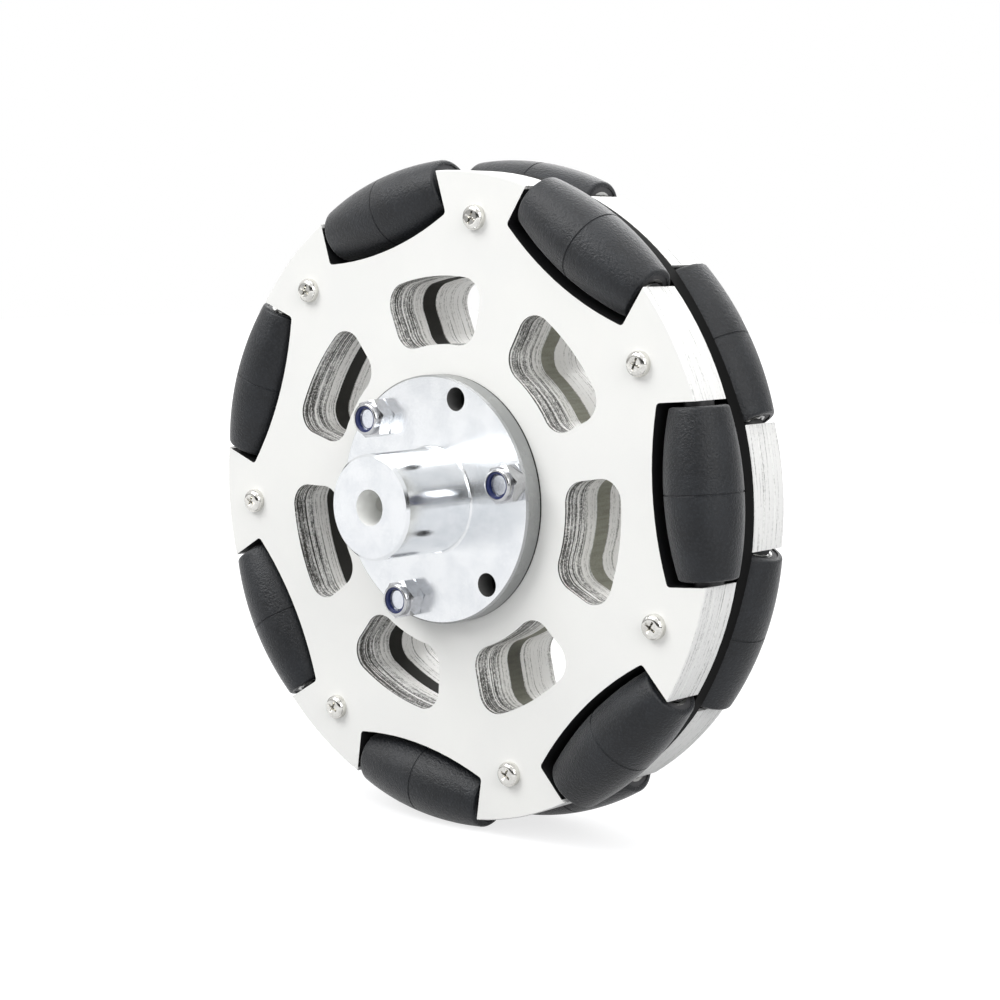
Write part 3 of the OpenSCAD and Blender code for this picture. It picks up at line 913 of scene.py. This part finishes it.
@dataclass
class CapScrews:
    """The screws that hold the hub: one is shaped, with a knurled head, and copied. Sizes in metres."""

    count: int = 3
    circle_r: float = 24.0 * MM
    first_turn: float = math.radians(12.8)
    shank_r: float = 2.5 * MM
    tip: float = 0.4 * MM
    head_r: float = 4.25 * MM
    head_h: float = 5.0 * MM
    knurl_depth: float = 0.16 * MM
    knurl_low: float = 0.5 * MM
    knurl_high: float = 4.35 * MM
    knurl_reach: float = 0.01 * MM
    crown_r: float = 3.85 * MM
    flats: int = 96
    sharp_angle: float = math.radians(28)
    socket_af: float = 4.0 * MM
    socket_depth: float = 2.5 * MM
    socket_lip: float = 0.25 * MM
    lip_flats: int = 48
    length: float = 40.0 * MM

    def head_profile(self) -> list[tuple[float, float]]:
        """Lists the rings of the screw above its tip, ending at the head's top.

        Returns:
            Radius and height of each ring.
        """
        seat = self.length - self.head_h
        return [
            (self.shank_r, self.tip),
            (self.shank_r, seat),
            (self.head_r - self.knurl_depth, seat),
            (self.head_r, seat + self.knurl_low / 2),
            (self.head_r, seat + self.knurl_low),
            (self.head_r, seat + self.knurl_high),
            (self.crown_r, self.length),
        ]

    def shape_body(self, name: str) -> bpy.types.Object:
        """Draws the screw up from its tip, ring by ring, and presses the knurl into the head.

        Args:
            name: the name of the piece.

        Returns:
            The screw without its socket, its tip at the origin and its head up.
        """
        select_nothing()
        tip_r = self.shank_r - self.tip
        bpy.ops.mesh.primitive_circle_add(vertices=self.flats, radius=tip_r, fill_type="NGON")
        body = bpy.context.object
        body.name = name
        bpy.ops.object.mode_set(mode="EDIT")
        bpy.ops.mesh.select_all(action="SELECT")
        radius, height = tip_r, 0.0
        for next_radius, next_height in self.head_profile():
            bpy.ops.mesh.extrude_region_move(TRANSFORM_OT_translate={"value": (0, 0, next_height - height)})
            if next_radius != radius:
                grow = next_radius / radius
                bpy.ops.transform.resize(value=(grow, grow, 1), center_override=(0, 0, next_height))
            radius, height = next_radius, next_height
        bpy.ops.mesh.select_all(action="SELECT")
        bpy.ops.mesh.normals_make_consistent(inside=False)
        bpy.ops.mesh.select_all(action="DESELECT")
        bpy.ops.object.mode_set(mode="OBJECT")
        knurl_from = self.length - self.head_h + self.knurl_low - self.knurl_reach
        knurl_to = self.length - self.head_h + self.knurl_high + self.knurl_reach
        for point in body.data.vertices:
            x, y, z = point.co
            number = round(math.atan2(y, x) / (2 * math.pi) * self.flats)
            point.select = knurl_from < z < knurl_to and number % 2 == 1
        bpy.ops.object.mode_set(mode="EDIT")
        press = 1 - self.knurl_depth / self.head_r
        bpy.ops.transform.resize(value=(press, press, 1), center_override=(0, 0, 0))
        bpy.ops.object.mode_set(mode="OBJECT")
        return body

    def cut_socket(self, body: bpy.types.Object) -> None:
        """Sinks the hexagon socket and the bevelled lip round it.

        Args:
            body: the screw, head up.
        """
        corner = self.socket_af / 2 / math.cos(math.pi / 6)
        lip_r = corner + self.socket_lip
        for flats, low_r, high_r, depth in (
            (6, corner, corner, self.socket_depth),
            (self.lip_flats, corner - 2 * self.socket_lip, lip_r + self.socket_lip, self.socket_lip * 2),
        ):
            select_nothing()
            above = self.socket_lip
            bpy.ops.mesh.primitive_cone_add(
                vertices=flats,
                radius1=low_r,
                radius2=high_r,
                depth=depth + above,
                location=(0, 0, self.length - (depth - above) / 2),
            )
            cutter = bpy.context.object
            cut = body.modifiers.new("socket", "BOOLEAN")
            cut.operation = "DIFFERENCE"
            cut.object = cutter
            bpy.context.view_layer.objects.active = body
            bpy.ops.object.modifier_apply(modifier=cut.name)
            bpy.data.objects.remove(cutter)

    def build(self) -> None:
        """Shapes one screw and puts a copy in each of the hub's holes in use."""
        low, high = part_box("hub_bolts")
        self.length = high.y - low.y
        pattern = self.shape_body("cap_screw_pattern")
        self.cut_socket(pattern)
        select_nothing()
        pattern.select_set(True)
        bpy.context.view_layer.objects.active = pattern
        bpy.ops.object.shade_smooth_by_angle(angle=self.sharp_angle)
        pattern.data.materials.append(Finish.BOLT.value.material("cap_screw_zinc"))
        upright = Matrix.Rotation(math.radians(-90), 4, "X")
        for number in range(self.count):
            turn = self.first_turn + number * 2 * math.pi / self.count
            spot = Vector((self.circle_r * math.cos(turn), low.y, self.circle_r * math.sin(turn)))
            screw = copy_to(pattern, f"cap_screw_{number + 1}", Matrix.Translation(spot) @ upright)
            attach(screw, "root")
            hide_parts("hub_bolts")
            LOG.info("cap screw %s", screw.name)
        bpy.data.objects.remove(pattern)


@dataclass
class Hub:
    """The turned hub, its set screw and what bolts it to the wheel."""

    def build(self) -> None:
        """Dresses the hub and its fasteners."""
        seat_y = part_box("front_outer_plate")[0].y / MM
        dress_node("hub", TurnedFinish().material("hub_turned", seat_y))
        for node, finish in (
            ("hub_set_screw", Finish.SET_SCREW),
            ("hub_lock_nuts", Finish.NUT),
            ("lock_nut_inserts", Finish.INSERT),
        ):
            dress_node(node, finish.value.material(f"{node}_finish"))


@dataclass
class Rollers:
    """What carries the treads: cores, bearings, pins, washers and the plate screws."""

    def build(self) -> None:
        """Dresses the cores, bearings, pins, washers and plate screws."""
        core = Finish.CORE.value.material("core_plastic")
        bearing = Finish.BEARING.value.material("bearing_steel")
        pin = Finish.PIN.value.material("pin_steel")
        screw = Finish.SCREW.value.material("screw_nickel")
        dress_node("thrust_washers", Finish.WASHER.value.material("washer_nylon"))
        for node in frame["nodes"]:
            if "_core_" in node:
                dress_node(node, core)
            elif "_bearings_" in node:
                dress_node(node, bearing)
            elif node.endswith("_axle_pins"):
                dress_node(node, pin)
            elif node.endswith("_plate_screws"):
                dress_node(node, screw)


# ---- Studio ----------------------------------------------------------------------------------


@dataclass(frozen=True)
class Lamp:
    """A soft square lamp."""

    name: str
    place: Place
    size: float
    watts: float
    aim: Place = (0.0, 0.0, 0.0)

    def build(self) -> None:
        """Hangs the lamp and points it."""
        data = bpy.data.lights.new(self.name, "AREA")
        data.shape = "SQUARE"
        data.size = self.size
        data.energy = self.watts
        lamp = bpy.data.objects.new(self.name, data)
        bpy.context.scene.collection.objects.link(lamp)
        lamp.location = self.place
        lamp.rotation_euler = (Vector(self.aim) - Vector(self.place)).to_track_quat("-Z", "Y").to_euler()


@dataclass
class Studio:
    """The camera, the floor, the lamps and the surroundings. Metres, but the glow's reach in millimetres."""

    eye: Place = (0.3368, -0.3801, 0.0565)
    look: Place = (-0.6579, 0.7443, -0.1149)
    lens_mm: float = 79.95
    sensor_mm: float = 36.0
    shift_x: float = 0.012
    shift_y: float = 0.003
    clip_start: float = 0.01
    floor_size: float = 6.0
    floor_grey: Colour = (0.30, 0.302, 0.308)
    floor_rough: float = 0.9
    floor_shine: float = 0.1
    floor_glow: float = 0.76
    gloss_glow: float = 0.46
    gloss_far_glow: float = 0.86
    gloss_near: float = 480.0
    gloss_far: float = 1100.0
    glow_near: float = 150.0
    glow_far: float = 900.0
    flag_side: Place = (0.66, -0.75, 0.0)
    sky: tuple[tuple[float, float], ...] = ((0.0, 0.60), (0.48, 0.42), (0.53, 0.42), (0.62, 0.85), (1.0, 1.0))
    flags: tuple[tuple[float, float], ...] = (
        (0.47, 0.35), (0.495, 0.02), (0.522, 0.02), (0.530, 1.0),
        (0.538, 0.02), (0.66, 0.03), (0.74, 0.90), (1.0, 1.0),
    )
    flag_edge: tuple[float, float] = (0.2, 0.6)
    diffuse_share: float = 0.88
    lamps: tuple[Lamp, ...] = (
        Lamp("key", (-0.45, -0.75, 0.85), 0.75, 9.7),
        Lamp("top", (0.15, 0.1, 1.0), 0.8, 3.0),
        Lamp("side", (0.95, -0.38, 0.45), 0.7, 4.8),
        Lamp("back", (-0.3, 0.9, 0.75), 0.8, 5.0),
    )

    def build(self) -> None:
        """Sets up the whole studio."""
        self.hang_camera()
        self.lay_floor()
        self.wrap_world()
        for lamp in self.lamps:
            lamp.build()
            LOG.info("lamp %s", lamp.name)

    def hang_camera(self) -> None:
        """Places the camera."""
        data = bpy.data.cameras.new("camera")
        data.lens = self.lens_mm
        data.sensor_width = self.sensor_mm
        data.shift_x = self.shift_x
        data.shift_y = self.shift_y
        data.clip_start = self.clip_start
        camera = bpy.data.objects.new("camera", data)
        bpy.context.scene.collection.objects.link(camera)
        camera.location = self.eye
        camera.rotation_euler = Vector(self.look).to_track_quat("-Z", "Y").to_euler()
        bpy.context.scene.camera = camera

    def lay_floor(self) -> None:
        """Lays the pale floor that takes the wheel's shadow."""
        select_nothing()
        bpy.ops.mesh.primitive_plane_add(size=self.floor_size, location=(0, 0, CAD_BOX[0][2]))
        floor = bpy.context.object
        floor.name = "floor"
        s = Shader("floor_white")
        s.set(Base_Color=self.floor_grey, Roughness=self.floor_rough, Specular_IOR_Level=self.floor_shine)
        camera = s.node("ShaderNodeLightPath", output="Is Camera Ray")
        glossy = s.node("ShaderNodeLightPath", output="Is Glossy Ray")
        far = s.length(s.point).ramp(self.glow_near, self.glow_far, self.floor_glow, 1.0)
        shine = s.length(s.point).ramp(self.gloss_near, self.gloss_far, self.gloss_glow, self.gloss_far_glow)
        strength = camera * far + glossy * shine
        glow = s.node("ShaderNodeEmission", inputs={"Color": (1, 1, 1, 1), "Strength": strength})
        both = s.node("ShaderNodeAddShader", inputs={0: Sock(s, s.surface.outputs[0]), 1: glow})
        output = next(n for n in s.tree.nodes if n.type == "OUTPUT_MATERIAL")
        s.tree.links.new(both.socket, output.inputs[0])
        floor.data.materials.append(s.material)

    def wrap_world(self) -> None:
        """White to the camera, a bright studio with dark flags to metal, and a plain level to the rest."""
        world = bpy.data.worlds.new("studio")
        bpy.context.scene.world = world
        s = Shader("studio_sky", world)
        around = s.node("ShaderNodeTexCoord", output="Generated")
        height = s.split(around)[2] * 0.5 + 0.5
        product = {"operation": "DOT_PRODUCT"}
        side = s.node("ShaderNodeVectorMath", product, {0: around, 1: self.flag_side}, "Value")
        plain = s.node("ShaderNodeValToRGB", {"stops": list(self.sky)}, {0: height})
        flagged = s.node("ShaderNodeValToRGB", {"stops": list(self.flags)}, {0: height})
        shown = s.mix(side.ramp(*self.flag_edge), plain, flagged)
        glossy = s.node("ShaderNodeLightPath", output="Is Glossy Ray")
        strength = glossy.ramp(0.0, 1.0, self.diffuse_share, 1.0)
        metal = s.node("ShaderNodeBackground", inputs={0: s.mix(glossy, plain, shown), 1: strength})
        white = s.node("ShaderNodeBackground", inputs={0: (1.0, 1.0, 1.0, 1.0)})
        camera = s.node("ShaderNodeLightPath", output="Is Camera Ray")
        either = s.node("ShaderNodeMixShader", inputs={0: camera, 1: metal, 2: white})
        s.node("ShaderNodeOutputWorld", inputs={0: either}, output=None)


def main() -> None:
    """Builds every sub-assembly and the studio."""
    logging.basicConfig(level=logging.INFO, format="%(message)s")
    bpy.context.scene.view_settings.view_transform = "Standard"
    for part in (Treads(), Plates(), Hub(), CapScrews(), Rollers(), Studio()):
        LOG.info("building %s", type(part).__name__)
        part.build()


if __name__ == "__main__":
    main()
